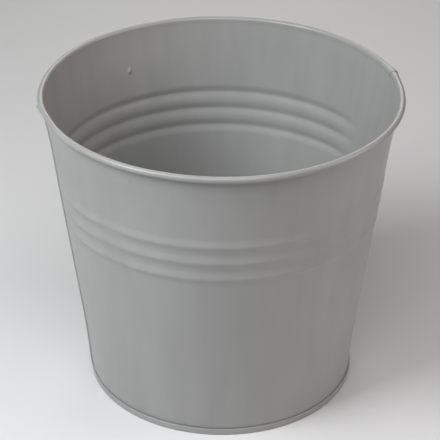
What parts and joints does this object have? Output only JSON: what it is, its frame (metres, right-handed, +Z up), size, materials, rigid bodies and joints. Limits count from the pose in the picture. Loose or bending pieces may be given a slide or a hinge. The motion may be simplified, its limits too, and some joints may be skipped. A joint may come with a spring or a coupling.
{
  "type": "florist bucket",
  "caption": "Round tapered sheet-steel flower bucket with a rolled rim, pressed beads round the wall, side seams and a recessed double-seamed base.",
  "frame": {"origin": "centre of the footprint, on the surface the bucket stands on", "axes": "+Z up along the bucket's axis, -Y towards the front, side seams on the X axis"},
  "size_m": [0.2, 0.2, 0.176],
  "materials": {
    "painted_steel": "warm grey paint, semi-gloss, faint orange peel",
    "wire": "bare drawn steel wire",
    "sealing_compound": "dark matt compound"
  },
  "bodies": {
    "root": {"front_wall": "painted_steel", "back_wall": "painted_steel", "base_pan": "painted_steel", "rim_wire": "wire", "base_seal": "sealing_compound", "left_seam_seal": "sealing_compound", "right_seam_seal": "sealing_compound"}
  },
  "joints": []
}
